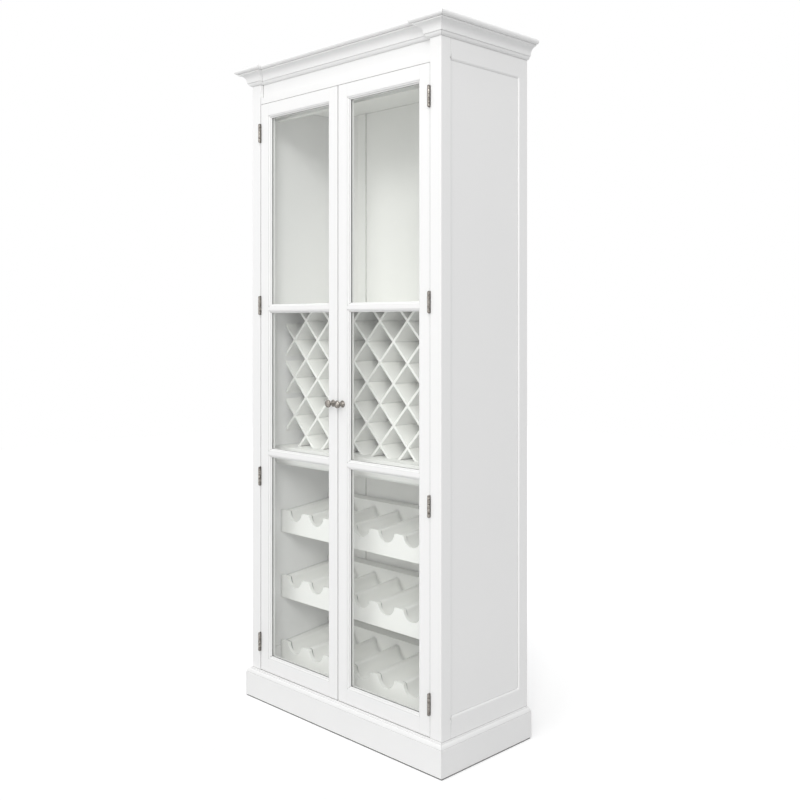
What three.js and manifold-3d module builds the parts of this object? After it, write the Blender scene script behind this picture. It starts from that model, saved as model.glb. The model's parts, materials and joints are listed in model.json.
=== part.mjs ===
// A tall painted wine cabinet: two glazed doors in front of a display space, a diamond bottle
// lattice and three scalloped bottle racks. Millimetres, +X right, +Z up, the front faces -Y.
// The origin is on the floor, in the middle of the overall width and depth.
import * as THREE from 'three';
import { mergeVertices } from 'three/addons/utils/BufferGeometryUtils.js';
import Module from 'manifold-3d';

// Carcass
const overallHeight = 2000;
const bodyWidth = 822;
const bodyDepth = 365;
const postWidth = 41;
const postDepth = 38;
const sideThickness = 25;
const rearStileWidth = 36;
const sideBottomRailHeight = 144.5;
const sideTopRailHeight = 107;
const panelBevel = 4.5;
const backThickness = 15;
const backStileWidth = 39;
const backStileRise = 5;
const backStileCentre = 270.5;
const boardThickness = 18;
const topCoverThickness = 15;
const headerRailHeight = 19;
const headerRailSetback = 1.5;
const friezeHeight = 43;
const friezeSetback = 12;
const mitreGap = 0.45;
const glueDepth = 1;

// Plinth
const plinthHeight = 89;
const plinthReach = 15;
const plinthMouldingHeight = 13;
const plinthGroove = 2;
const plinthRound = 9;
const plinthLipHeight = 2;

// Cornice
const corniceHeight = 53;
const corniceBead = 10;
const corniceFillet = 3;
const corniceCoveReach = 20;
const corniceCoveRise = 22;
const corniceStepRise = 4;
const corniceStepReach = 3;
const corniceNoseRadius = 7;

// Shelves inside
const innerFrontSetback = 75;
const ceilingRise = 4;
const ceilingApronDrop = 45;
const upperShelfTop = 1248;
const upperShelfThickness = 20;
const lowerShelfTop = 793.5;
const lowerApronHeight = 57.5;
const apronCove = 6;

// Bottle lattice
const latticeSetback = 118;
const latticeSlat = 8;
const latticeHalfPitchX = 57;
const latticeHalfPitchZ = 61;
const latticeTopRowDrop = 31;
const latticeSeam = 0.3;

// Bottle racks
const rackSetback = 97;
const rackFrontThickness = 20;
const rackFrontHeight = 71;
const rackPitch = 212;
const bottlePitch = 105;
const scallopWidth = 70;
const scallopDepth = 29;
const troughWidth = 76;
const troughDepth = 31;
const cradleFloor = 12;
const cradleRise = 18;
const rackLedgeDepth = 47;
const rackLedgeRise = 32;

// Doors
const doorSetback = 1.5;
const doorThickness = 22;
const doorSideGap = 1.5;
const doorCentreGap = 2.5;
const doorBottomGap = 2.5;
const doorTopGap = 2;
const stileFlat = 38;
const topRailFlat = 39;
const bottomRailFlat = 42.5;
const midRailFlat = 11;
const midRailDrop = 12;
const glassThickness = 4;
const glassFrontDepth = 10.5;
const glassClearance = 0.25;
const glassEdgeInset = 3;
const grooveFloor = 2.5;
const stickingWidth = 8;
const stickingQuirk = 1.5;
const stickingShoulder = 1;
const ovoloReach = 4;
const ovoloDepth = 3.5;
const stickingStep = 1.5;
const stickingFall = 1;

// Hinges
const hingeHeightShares = [0.9495, 0.6447, 0.3425, 0.0495];
const hingeLength = 60;
const hingeLeafThickness = 1.5;
const hingeLeafReach = 18;
const hingeBarrelRadius = 4;
const hingePinRadius = 1.7;
const hingeBoreRadius = 2.1;
const hingeStandOff = 0.3;
const knuckleCount = 5;
const knuckleGap = 0.4;
const barrelSides = 14;
const boreSides = 10;

// Knobs and catch
const knobHeightShare = 0.4825;
const knobReach = 28.5;
const knobRoseRadius = 10;
const knobRoseThickness = 3;
const knobNeckRadius = 4.5;
const knobBallRadius = 11.5;
const knobBallHalfLength = 8;
const knobSides = 20;
const catchWidth = 44;
const catchHeight = 16;
const catchDoorGap = 0.5;

// Curves
const quarterTurn = Math.PI / 2;
const smallArcSteps = 4;
const coveSteps = 6;
const noseSteps = 8;
const hollowSteps = 10;
const ballSteps = 8;

// Places worked out from the sizes above
const corniceReach = corniceBead + corniceFillet + corniceCoveReach + corniceStepReach
  + corniceNoseRadius;
const halfWidth = bodyWidth / 2;
const postInner = halfWidth - postWidth;
const innerHalf = halfWidth - sideThickness;
const frontFace = (corniceReach - bodyDepth) / 2;
const backFace = frontFace + bodyDepth;
const postBack = frontFace + postDepth;
const backPanelFront = backFace - backThickness;
const backStileFront = backPanelFront - backStileRise;
const innerFront = frontFace + innerFrontSetback;
const friezeFront = frontFace + friezeSetback;
const corniceBottom = overallHeight - corniceHeight;
const carcassTop = overallHeight - topCoverThickness;
const headerTop = corniceBottom - friezeHeight;
const headerBottom = headerTop - headerRailHeight;
const ceilingBottom = headerBottom + ceilingRise;
const bottleCount = Math.floor(2 * innerHalf / bottlePitch);
const upperShelfBottom = upperShelfTop - upperShelfThickness;
const plinthFaceTop = plinthHeight - plinthMouldingHeight;
const bottomBoardBottom = plinthHeight - boardThickness;
const doorFront = frontFace + doorSetback;
const doorBack = doorFront + doorThickness;
const doorBottom = plinthHeight + doorBottomGap;
const doorTop = headerBottom - doorTopGap;
const doorHeight = doorTop - doorBottom;
const doorOuter = postInner - doorSideGap;
const doorInner = doorCentreGap / 2;
const hingeAxisX = (postInner + doorOuter) / 2;
const hingeAxisY = frontFace - hingeBarrelRadius - hingeStandOff;
const hingeHeights = hingeHeightShares.map((share) => doorBottom + share * doorHeight);

// Finishes
const paint = new THREE.MeshStandardMaterial({ color: 0xf3f3f1, roughness: 0.42, metalness: 0 });
const innerPaint = new THREE.MeshStandardMaterial({ color: 0xe9ebe7, roughness: 0.5, metalness: 0 });
const pewter = new THREE.MeshStandardMaterial({ color: 0x847b71, roughness: 0.38, metalness: 1 });
const glass = new THREE.MeshStandardMaterial({
  color: 0xdfeae4, roughness: 0.05, metalness: 0, transparent: true, opacity: 0.3,
});

const cabinet = new THREE.Group();
const kit = await Module();
kit.setup();

function place(name, geometry, material, x = 0, y = 0, z = 0) {
  const mesh = new THREE.Mesh(geometry, material);
  mesh.name = name;
  mesh.position.set(x, y, z);
  cabinet.add(mesh);
  return mesh;
}

function board(name, material, [x0, x1], [y0, y1], [z0, z1]) {
  const geometry = new THREE.BoxGeometry(x1 - x0, y1 - y0, z1 - z0);
  return place(name, geometry, material, (x0 + x1) / 2, (y0 + y1) / 2, (z0 + z1) / 2);
}

function block([x0, x1], [y0, y1], [z0, z1]) {
  const geometry = new THREE.BoxGeometry(x1 - x0, y1 - y0, z1 - z0);
  return geometry.translate((x0 + x1) / 2, (y0 + y1) / 2, (z0 + z1) / 2);
}

// The stretch of |X| on the left (-1) or right (+1) side, in rising order
function onSide(sign, from, to) {
  return sign > 0 ? [from, to] : [-to, -from];
}

// Outlines are (y, z) for alongX, (z, x) for alongY and (x, y) for alongZ
const axisX = new THREE.Vector3(1, 0, 0);
const axisY = new THREE.Vector3(0, 1, 0);
const axisZ = new THREE.Vector3(0, 0, 1);

function extrude(points, depth) {
  const shape = new THREE.Shape(points.map(([a, b]) => new THREE.Vector2(a, b)));
  return new THREE.ExtrudeGeometry(shape, { depth, bevelEnabled: false });
}

function alongX(points, from, to) {
  const turn = new THREE.Matrix4().makeBasis(axisY, axisZ, axisX).setPosition(from, 0, 0);
  return extrude(points, to - from).applyMatrix4(turn);
}

function alongY(points, from, to) {
  const turn = new THREE.Matrix4().makeBasis(axisZ, axisX, axisY).setPosition(0, from, 0);
  return extrude(points, to - from).applyMatrix4(turn);
}

function alongZ(points, from, to) {
  return extrude(points, to - from).translate(0, 0, from);
}

// Points of an elliptic arc, the angle turning from the first coordinate to the second
function arc([centreA, centreB], [radiusA, radiusB], fromAngle, toAngle, steps) {
  const points = [];
  for (let i = 0; i <= steps; i += 1) {
    const angle = fromAngle + (toAngle - fromAngle) * i / steps;
    points.push([centreA + radiusA * Math.cos(angle), centreB + radiusB * Math.sin(angle)]);
  }
  return points;
}

// Joining and cutting
function solid(geometry) {
  const bare = geometry.clone();
  bare.deleteAttribute('normal');
  bare.deleteAttribute('uv');
  const merged = mergeVertices(bare);
  return new kit.Manifold(new kit.Mesh({
    numProp: 3,
    vertProperties: new Float32Array(merged.attributes.position.array),
    triVerts: new Uint32Array(merged.index.array),
  }));
}

function joined(geometries) {
  return geometries.map(solid).reduce((whole, piece) => whole.add(piece));
}

function cut(body, geometries) {
  return geometries.map(solid).reduce((rest, cutter) => rest.subtract(cutter), body);
}

function skin(body) {
  const mesh = body.getMesh();
  const geometry = new THREE.BufferGeometry();
  geometry.setAttribute('position', new THREE.BufferAttribute(mesh.vertProperties, 3));
  geometry.setIndex(new THREE.BufferAttribute(mesh.triVerts, 1));
  geometry.computeVertexNormals();
  return geometry;
}

// A closed outline carried through a row of rings, with flat ends
function loft(profile, rings) {
  const flat = profile.map(([a, b]) => new THREE.Vector2(a, b));
  if (THREE.ShapeUtils.isClockWise(flat)) {
    return loft([...profile].reverse(), rings.map((ring) => [...ring].reverse()));
  }
  const count = profile.length;
  const last = (rings.length - 1) * count;
  const index = [];
  for (let start = 0; start < last; start += count) {
    for (let i = 0; i < count; i += 1) {
      const a = start + i;
      const b = start + (i + 1) % count;
      index.push(a, b, b + count, a, b + count, a + count);
    }
  }
  for (const [a, b, c] of THREE.ShapeUtils.triangulateShape(flat, [])) {
    index.push(c, b, a, last + a, last + b, last + c);
  }
  const positions = rings.flat(2);
  const geometry = new THREE.BufferGeometry();
  geometry.setAttribute('position', new THREE.Float32BufferAttribute(positions, 3));
  geometry.setIndex(facingOut(positions, index));
  geometry.computeVertexNormals();
  return geometry;
}

// The triangles turned over where they enclose a negative volume
function facingOut(positions, index) {
  const corners = [new THREE.Vector3(), new THREE.Vector3(), new THREE.Vector3()];
  let volume = 0;
  for (let i = 0; i < index.length; i += 3) {
    corners.forEach((corner, j) => corner.fromArray(positions, 3 * index[i + j]));
    volume += corners[0].dot(corners[1].clone().cross(corners[2]));
  }
  return volume < 0 ? index.reverse() : index;
}

// A moulding round the cabinet: (reach, z) points, moved out along the mitre of each corner
function roundTheBody(profile, corners) {
  return loft(profile, corners.map(({ x, y, outX, outY }) => profile.map(
    ([reach, z]) => [x + reach * outX, y + reach * outY, z],
  )));
}

// One ring of a moulding round a framed opening, at its corner (p, q). The profile has
// (inward, depth) points: into the opening and back from the face. A point with inward under
// zero lies in the frame and moves by glue instead of by mitre.
function openingRing(profile, [p, q], mitre, glue, toWorld) {
  return profile.map(([inward, depth]) => {
    const [stepP, stepQ] = inward > 0 ? mitre : glue;
    return toWorld(p + inward * stepP, q + inward * stepQ, depth);
  });
}

// A mitred moulding along one edge of an opening, held back by gap from both its corners
function openingRun(profile, { p0, p1, q0, q1 }, edge, gap, toWorld) {
  const runs = {
    p0: [[p0, q0 + gap], [1, 1], [p0, q1 - gap], [1, -1], [1, 0]],
    p1: [[p1, q0 + gap], [-1, 1], [p1, q1 - gap], [-1, -1], [-1, 0]],
    q0: [[p0 + gap, q0], [1, 1], [p1 - gap, q0], [-1, 1], [0, 1]],
    q1: [[p0 + gap, q1], [1, -1], [p1 - gap, q1], [-1, -1], [0, -1]],
  };
  const [from, fromMitre, to, toMitre, glue] = runs[edge];
  return loft(profile, [
    openingRing(profile, from, fromMitre, glue, toWorld),
    openingRing(profile, to, toMitre, glue, toWorld),
  ]);
}

const plinthTopCentre = [
  plinthReach - plinthGroove - plinthRound, plinthHeight - plinthLipHeight - plinthRound,
];
const plinthProfile = [
  [0, 0],
  [plinthReach, 0],
  [plinthReach, plinthFaceTop],
  [plinthReach - plinthGroove, plinthFaceTop],
  ...arc(plinthTopCentre, [plinthRound, plinthRound], 0, quarterTurn, smallArcSteps),
  [plinthTopCentre[0], plinthHeight],
  [0, plinthHeight],
];

const coveFoot = corniceBottom + corniceBead + corniceFillet;
const coveOuter = corniceBead + corniceFillet + corniceCoveReach;
const noseCentre = [corniceReach - corniceNoseRadius, overallHeight - corniceNoseRadius];
const noseRadii = [corniceNoseRadius, corniceNoseRadius];
const corniceProfile = [
  ...arc(
    [0, corniceBottom + corniceBead], [corniceBead, corniceBead], -quarterTurn, 0, smallArcSteps,
  ),
  [corniceBead + corniceFillet, corniceBottom + corniceBead],
  ...arc([coveOuter, coveFoot], [-corniceCoveReach, corniceCoveRise], 0, quarterTurn, coveSteps),
  [coveOuter, coveFoot + corniceCoveRise + corniceStepRise],
  ...arc(noseCentre, noseRadii, -quarterTurn, quarterTurn, noseSteps),
  [0, overallHeight],
];

function addMouldings() {
  const leftCorner = { x: -halfWidth, y: frontFace, outX: -1, outY: -1 };
  const rightCorner = { x: halfWidth, y: frontFace, outX: 1, outY: -1 };
  const breaks = [
    { x: -postInner, y: frontFace, outX: 1, outY: -1 },
    { x: -postInner, y: friezeFront, outX: 1, outY: -1 },
    { x: postInner, y: friezeFront, outX: -1, outY: -1 },
    { x: postInner, y: frontFace, outX: -1, outY: -1 },
  ];
  place('plinth_front', roundTheBody(plinthProfile, [leftCorner, rightCorner]), paint);
  place(
    'cornice_front', roundTheBody(corniceProfile, [leftCorner, ...breaks, rightCorner]), paint,
  );
  for (const [side, sign] of [['left', -1], ['right', 1]]) {
    const corners = [
      { x: sign * halfWidth, y: frontFace + mitreGap, outX: sign, outY: -1 },
      { x: sign * halfWidth, y: backFace, outX: sign, outY: 0 },
    ];
    place(`plinth_${side}`, roundTheBody(plinthProfile, corners), paint);
    place(`cornice_${side}`, roundTheBody(corniceProfile, corners), paint);
  }
}

const sideOpening = {
  p0: postBack,
  p1: backFace - rearStileWidth,
  q0: sideBottomRailHeight,
  q1: overallHeight - sideTopRailHeight,
};
const bevelProfile = [
  [-glueDepth, 0], [0, 0], [panelBevel, panelBevel], [-glueDepth, panelBevel],
];

// Shallow seats for the hinge leaves, let into a face at |X| from..to
function leafSeats(sign, from, to) {
  return hingeHeights.map((height) => block(
    onSide(sign, from, to),
    [frontFace - glueDepth, frontFace + hingeLeafReach],
    [height - hingeLength / 2, height + hingeLength / 2],
  ));
}

function addSide(side, sign) {
  const { p0, p1, q0, q1 } = sideOpening;
  const toWorld = (p, q, depth) => [sign * (halfWidth - depth), p, q];
  const post = joined([
    block(onSide(sign, postInner, halfWidth), [frontFace, postBack], [0, carcassTop]),
    openingRun(bevelProfile, sideOpening, 'p0', mitreGap, toWorld),
  ]);
  const seats = leafSeats(sign, postInner - glueDepth, postInner + hingeLeafThickness);
  place(`corner_post_${side}`, skin(cut(post, seats)), paint);

  const frameOutline = [
    [postBack, 0], [backFace, 0], [backFace, carcassTop], [postBack, carcassTop],
    [postBack, q1], [p1, q1], [p1, q0], [postBack, q0],
  ];
  const bevel = loft(bevelProfile, [
    openingRing(bevelProfile, [p0, q0], [1, 1], [0, 1], toWorld),
    openingRing(bevelProfile, [p1, q0], [-1, 1], [-1, 1], toWorld),
    openingRing(bevelProfile, [p1, q1], [-1, -1], [-1, -1], toWorld),
    openingRing(bevelProfile, [p0, q1], [1, -1], [0, -1], toWorld),
  ]);
  const frame = alongX(frameOutline, ...onSide(sign, innerHalf, halfWidth));
  place(`side_frame_${side}`, skin(joined([frame, bevel])), paint);
  board(
    `side_panel_${side}`, paint, onSide(sign, innerHalf, halfWidth - panelBevel), [p0, p1], [q0, q1],
  );
}

// The front line of the back panel, from right to left, with its two raised stiles
function backPanelLine() {
  const line = [[innerHalf, backPanelFront]];
  for (const centre of [backStileCentre, -backStileCentre]) {
    const right = centre + backStileWidth / 2;
    const left = centre - backStileWidth / 2;
    line.push([right, backPanelFront], [right, backStileFront]);
    line.push([left, backStileFront], [left, backPanelFront]);
  }
  line.push([-innerHalf, backPanelFront]);
  return line;
}

function shelfPlan(front) {
  return [[-innerHalf, front], [innerHalf, front], ...backPanelLine()];
}

function addCarcass() {
  addSide('left', -1);
  addSide('right', 1);
  const floorPlan = [
    [-innerHalf, postBack], [-postInner, postBack], [-postInner, frontFace],
    [postInner, frontFace], [postInner, postBack], [innerHalf, postBack], ...backPanelLine(),
  ];
  place('bottom_board', alongZ(floorPlan, bottomBoardBottom, plinthHeight), innerPaint);
  const headerOutline = [
    [frontFace + headerRailSetback, headerBottom], [frontFace + headerRailSetback, headerTop],
    [friezeFront, headerTop], [friezeFront, carcassTop + glueDepth],
    [postBack, carcassTop + glueDepth], [postBack, headerBottom],
  ];
  const coverPlan = [
    [-halfWidth, frontFace], [-postInner, frontFace], [-postInner, friezeFront],
    [postInner, friezeFront], [postInner, frontFace], [halfWidth, frontFace],
    [halfWidth, backFace], [-halfWidth, backFace],
  ];
  const header = alongX(headerOutline, -postInner, postInner);
  const cover = alongZ(coverPlan, carcassTop, overallHeight);
  place('header_and_top_cover', skin(joined([header, cover])), paint);
  const backPlan = [...backPanelLine(), [-innerHalf, backFace], [innerHalf, backFace]];
  place('back_panel', alongZ(backPlan, bottomBoardBottom, carcassTop), innerPaint);
}

function addShelves() {
  const apronBack = innerFront + boardThickness;
  const ceilingApron = block(
    [-innerHalf, innerHalf], [innerFront, apronBack],
    [ceilingBottom - ceilingApronDrop, ceilingBottom + glueDepth],
  );
  const ceiling = alongZ(shelfPlan(postBack), ceilingBottom, ceilingBottom + boardThickness);
  place('top_board', skin(joined([ceiling, ceilingApron])), innerPaint);
  place(
    'upper_shelf', alongZ(shelfPlan(innerFront), upperShelfBottom, upperShelfTop), innerPaint,
  );
  const shelfBottom = lowerShelfTop - boardThickness;
  const apronFoot = lowerShelfTop - lowerApronHeight;
  const apronOutline = [
    [innerFront, shelfBottom + glueDepth],
    ...arc([innerFront, apronFoot], [apronCove, apronCove], quarterTurn, 0, smallArcSteps),
    [apronBack, apronFoot],
    [apronBack, shelfBottom + glueDepth],
  ];
  const shelf = alongZ(shelfPlan(innerFront), shelfBottom, lowerShelfTop);
  const apron = alongX(apronOutline, -innerHalf, innerHalf);
  place('lower_shelf', skin(joined([shelf, apron])), innerPaint);
}

// Crossing slats, halved into each other, in two halves that meet in the middle. They cross at
// whole numbers of half pitches: at odd columns in the top row, at even ones in the row below
// it, and so on.
function addLattice() {
  const topRow = upperShelfBottom - latticeTopRowDrop;
  const rows = Math.floor((topRow - lowerShelfTop) / latticeHalfPitchZ);
  const columns = Math.floor(innerHalf / latticeHalfPitchX);
  const lean = latticeHalfPitchX / latticeHalfPitchZ;
  const halfSlat = latticeSlat / 2 * Math.hypot(1, lean);
  const reach = columns + rows + (columns + rows + 1) % 2;
  const front = frontFace + latticeSetback;
  const slats = [];
  for (const rise of [1, -1]) {
    for (let start = -reach; start <= reach; start += 2) {
      const crossings = Array.from({ length: rows + 1 }, (_, row) => start - rise * row);
      if (crossings.some((column) => Math.abs(column) <= columns)) {
        const middle = (z) => start * latticeHalfPitchX + rise * lean * (z - topRow);
        slats.push(alongY([
          [lowerShelfTop, middle(lowerShelfTop) - halfSlat],
          [lowerShelfTop, middle(lowerShelfTop) + halfSlat],
          [upperShelfBottom, middle(upperShelfBottom) + halfSlat],
          [upperShelfBottom, middle(upperShelfBottom) - halfSlat],
        ], front, backStileFront));
      }
    }
  }
  const crossed = joined(slats);
  for (const [side, sign] of [['left', -1], ['right', 1]]) {
    const room = block(
      onSide(sign, latticeSeam / 2, innerHalf), [front, backStileFront],
      [lowerShelfTop, upperShelfBottom],
    );
    place(`wine_lattice_${side}`, skin(crossed.intersect(solid(room))), innerPaint);
  }
}

// A board outline whose top edge has a row of round hollows, one to a bottle
function hollowed(top, bottom, width, depth) {
  const radius = (width * width / 4 + depth * depth) / (2 * depth);
  const centreHeight = top - depth + radius;
  const opening = Math.atan2(width / 2, radius - depth);
  const down = 2 * quarterTurn;
  const points = [[bottom, -innerHalf], [top, -innerHalf]];
  for (let bottle = 0; bottle < bottleCount; bottle += 1) {
    const x = (bottle - (bottleCount - 1) / 2) * bottlePitch;
    points.push(...arc(
      [centreHeight, x], [radius, radius], down + opening, down - opening, hollowSteps,
    ));
  }
  points.push([top, innerHalf], [bottom, innerHalf]);
  return points;
}

// A scalloped front board, a cradle that climbs behind it and a block at the rear
function addRack(name, top) {
  const front = frontFace + rackSetback;
  const frontBack = front + rackFrontThickness;
  const cradleBack = backStileFront - rackLedgeDepth;
  const bottom = top - rackFrontHeight;
  const frontBoard = alongY(hollowed(top, bottom, scallopWidth, scallopDepth), front, frontBack);
  const cradle = alongY(
    hollowed(top, top - troughDepth - cradleFloor, troughWidth, troughDepth),
    frontBack - glueDepth, cradleBack + glueDepth,
  );
  const climb = cradleRise / (cradleBack - frontBack);
  cradle.applyMatrix4(new THREE.Matrix4().makeShear(0, 0, 0, climb, 0, 0));
  cradle.translate(0, 0, -climb * frontBack);
  const rearBlock = block(
    [-innerHalf, innerHalf], [cradleBack, backStileFront], [bottom, top + rackLedgeRise],
  );
  place(name, skin(joined([frontBoard, cradle, rearBlock])), innerPaint);
}

const glassBackDepth = glassFrontDepth + glassThickness;
const ovoloCentre = [stickingShoulder, stickingQuirk + ovoloDepth];
const stickingProfile = [
  [-glueDepth, stickingQuirk],
  ...arc(ovoloCentre, [ovoloReach, ovoloDepth], -quarterTurn, 0, smallArcSteps),
  [stickingShoulder + ovoloReach, ovoloCentre[1] + stickingStep],
  [stickingWidth, ovoloCentre[1] + stickingStep + stickingFall],
  [stickingWidth, glassFrontDepth - glassClearance],
  [grooveFloor, glassFrontDepth - glassClearance],
  [grooveFloor, glassBackDepth + glassClearance],
  [stickingWidth, glassBackDepth + glassClearance],
  [stickingWidth, doorThickness],
  [-glueDepth, doorThickness],
];

// The three lights of a door from the top down, between the flats of its stiles and rails
function doorLights(sign) {
  const [p0, p1] = onSide(sign, doorInner + stileFlat, doorOuter - stileFlat);
  const centres = [upperShelfTop, lowerShelfTop].map((top) => top - midRailDrop);
  const tops = [doorTop - topRailFlat, ...centres.map((z) => z - midRailFlat / 2)];
  const bottoms = [...centres.map((z) => z + midRailFlat / 2), doorBottom + bottomRailFlat];
  return tops.map((q1, i) => ({ p0, p1, q0: bottoms[i], q1 }));
}

function addDoor(side, sign) {
  const lights = doorLights(sign);
  const [upper, middle, lower] = lights;
  const toWorld = (p, q, depth) => [p, doorFront + depth, q];
  const run = (light, edge, gap) => openingRun(stickingProfile, light, edge, gap, toWorld);
  const depths = [doorFront, doorBack];
  const [hingeEdge, meetingEdge] = sign > 0 ? ['p1', 'p0'] : ['p0', 'p1'];
  const hingeStile = joined([
    block(onSide(sign, doorOuter - stileFlat, doorOuter), depths, [doorBottom, doorTop]),
    ...lights.map((light) => run(light, hingeEdge, 0)),
  ]);
  const seats = leafSeats(sign, doorOuter - hingeLeafThickness, doorOuter + glueDepth);
  place(`door_${side}_hinge_stile`, skin(cut(hingeStile, seats)), paint);
  const meetingStile = joined([
    block(onSide(sign, doorInner, doorInner + stileFlat), depths, [doorBottom, doorTop]),
    ...lights.map((light) => run(light, meetingEdge, 0)),
  ]);
  place(`door_${side}_meeting_stile`, skin(meetingStile), paint);

  const { p0, p1 } = upper;
  const rails = [
    ['top_rail', [upper.q1, doorTop], [[upper, 'q1']]],
    ['upper_mid_rail', [middle.q1, upper.q0], [[upper, 'q0'], [middle, 'q1']]],
    ['lower_mid_rail', [lower.q1, middle.q0], [[middle, 'q0'], [lower, 'q1']]],
    ['bottom_rail', [doorBottom, lower.q0], [[lower, 'q0']]],
  ];
  for (const [name, heights, edges] of rails) {
    const mouldings = edges.map(([light, edge]) => run(light, edge, mitreGap));
    const rail = joined([block([p0, p1], depths, heights), ...mouldings]);
    place(`door_${side}_${name}`, skin(rail), paint);
  }
  ['upper', 'middle', 'lower'].forEach((level, i) => {
    board(
      `door_${side}_${level}_pane`, glass,
      [p0 + glassEdgeInset, p1 - glassEdgeInset],
      [doorFront + glassFrontDepth, doorFront + glassBackDepth],
      [lights[i].q0 + glassEdgeInset, lights[i].q1 - glassEdgeInset],
    );
  });
  const knob = place(
    `door_${side}_knob`, knobGeometry(), pewter,
    sign * (doorInner + stileFlat / 2), doorFront, doorBottom + knobHeightShare * doorHeight,
  );
  knob.rotation.x = Math.PI;
}

// A rose on the door, a neck and a flattened ball, turned about the neck
function knobGeometry() {
  const ballHeight = knobReach - knobBallHalfLength;
  const neckTurn = Math.acos(knobNeckRadius / knobBallRadius);
  const ball = arc(
    [0, ballHeight], [knobBallRadius, knobBallHalfLength], -neckTurn, quarterTurn, ballSteps,
  );
  const points = [
    [0, 0],
    [knobRoseRadius, 0],
    [knobRoseRadius, knobRoseThickness / 2],
    [knobNeckRadius + knobRoseThickness / 2, knobRoseThickness],
    [knobNeckRadius, 2 * knobRoseThickness],
    ...ball.slice(0, -1),
    [0, knobReach],
  ];
  return new THREE.LatheGeometry(points.map(([r, h]) => new THREE.Vector2(r, h)), knobSides);
}

// A round bar on the hinge axis of one side
function hingeBar(sign, radius, sides, [z0, z1]) {
  const geometry = new THREE.CylinderGeometry(radius, radius, z1 - z0, sides);
  return geometry.rotateX(quarterTurn).translate(sign * hingeAxisX, hingeAxisY, (z0 + z1) / 2);
}

// A flat leaf at |X| inner..outer, its knuckles and the tabs that reach them
function hingeLeaf(sign, [inner, outer], front, ends, knuckles) {
  const across = onSide(sign, inner, outer);
  return [
    block(across, [front, frontFace + hingeLeafReach], ends),
    ...knuckles.map((span) => hingeBar(sign, hingeBarrelRadius, barrelSides, span)),
    ...knuckles.map((span) => block(across, [hingeAxisY, front + glueDepth], span)),
  ];
}

// The odd knuckles and the pin belong to the leaf on the post, the even ones turn on the pin
function addHinge(side, sign, number, height) {
  const ends = [height - hingeLength / 2, height + hingeLength / 2];
  const step = hingeLength / knuckleCount;
  const knuckles = Array.from({ length: knuckleCount }, (_, i) => {
    const low = ends[0] + i * step;
    const high = low + step;
    return i % 2 ? [low + knuckleGap, high - knuckleGap] : [low, high];
  });
  const postLeaf = joined([
    ...hingeLeaf(
      sign, [postInner, postInner + hingeLeafThickness], frontFace, ends,
      knuckles.filter((_, i) => i % 2 === 0),
    ),
    hingeBar(sign, hingePinRadius, boreSides, ends),
  ]);
  const doorLeaf = joined(hingeLeaf(
    sign, [doorOuter - hingeLeafThickness, doorOuter], doorFront, ends,
    knuckles.filter((_, i) => i % 2 === 1),
  ));
  const bore = hingeBar(sign, hingeBoreRadius, barrelSides, ends);
  place(`hinge_${side}_${number}_post_leaf`, skin(postLeaf), pewter);
  place(`hinge_${side}_${number}_door_leaf`, skin(cut(doorLeaf, [bore])), pewter);
}

addMouldings();
addCarcass();
addShelves();
addLattice();
['lower', 'middle', 'upper'].forEach((level, i) => {
  addRack(`bottle_rack_${level}`, plinthHeight + rackFrontHeight + i * rackPitch);
});
for (const [side, sign] of [['left', -1], ['right', 1]]) {
  addDoor(side, sign);
  hingeHeights.forEach((height, i) => addHinge(side, sign, i + 1, height));
}
board(
  'double_magnetic_catch', pewter, [-catchWidth / 2, catchWidth / 2],
  [doorBack + catchDoorGap, postBack], [headerBottom - catchHeight, headerBottom],
);

export default cabinet;
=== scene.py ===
# A tall white wine cabinet: the finish of every surface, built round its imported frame.
# Metres, +X right, +Y to the back, +Z up; the doors face -Y.
import json
import math

import bmesh
import bpy
from mathutils import Matrix, Vector


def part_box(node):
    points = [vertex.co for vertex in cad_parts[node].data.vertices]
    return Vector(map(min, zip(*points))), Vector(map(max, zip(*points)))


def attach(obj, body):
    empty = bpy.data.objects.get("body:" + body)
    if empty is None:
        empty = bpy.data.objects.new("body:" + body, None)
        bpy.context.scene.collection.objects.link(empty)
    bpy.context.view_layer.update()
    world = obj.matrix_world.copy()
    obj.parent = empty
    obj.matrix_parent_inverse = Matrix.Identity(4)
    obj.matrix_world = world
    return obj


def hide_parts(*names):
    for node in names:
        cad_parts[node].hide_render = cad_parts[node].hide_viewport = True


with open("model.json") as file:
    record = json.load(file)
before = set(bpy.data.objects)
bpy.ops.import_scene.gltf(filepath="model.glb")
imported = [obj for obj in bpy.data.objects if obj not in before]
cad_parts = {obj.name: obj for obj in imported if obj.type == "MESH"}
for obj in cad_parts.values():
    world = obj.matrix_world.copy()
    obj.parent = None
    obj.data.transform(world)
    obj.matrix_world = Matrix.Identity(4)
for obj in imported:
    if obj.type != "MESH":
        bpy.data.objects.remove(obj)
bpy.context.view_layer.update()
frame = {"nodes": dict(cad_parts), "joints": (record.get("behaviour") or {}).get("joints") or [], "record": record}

MM = 0.001
SIDES = (("left", -1), ("right", 1))

# The photograph's view
CAMERA_PLACE = (2.188, -2.0865, 1.1929)
CAMERA_AZIMUTH = math.radians(45.07)
LENS = 44.93
SENSOR = 36.0
VIEW_SHIFT = -0.0971

# Edges of painted boards, and how copies of the frame's solids are cleaned up
BOARD_ARRIS = 1.2 * MM
SIDE_FRAME_ARRIS = 1.5 * MM
MOULDING_ARRIS = 0.25 * MM
INNER_ARRIS = 0.7 * MM
ARRIS_STEPS = 2
MERGE_DISTANCE = 0.002 * MM
LEVEL_TOLERANCE = 0.02 * MM
FLAT_ANGLE = math.radians(0.6)
SHARP_ANGLE = math.radians(32)
SMOOTH_ANGLE = math.radians(38)

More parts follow.
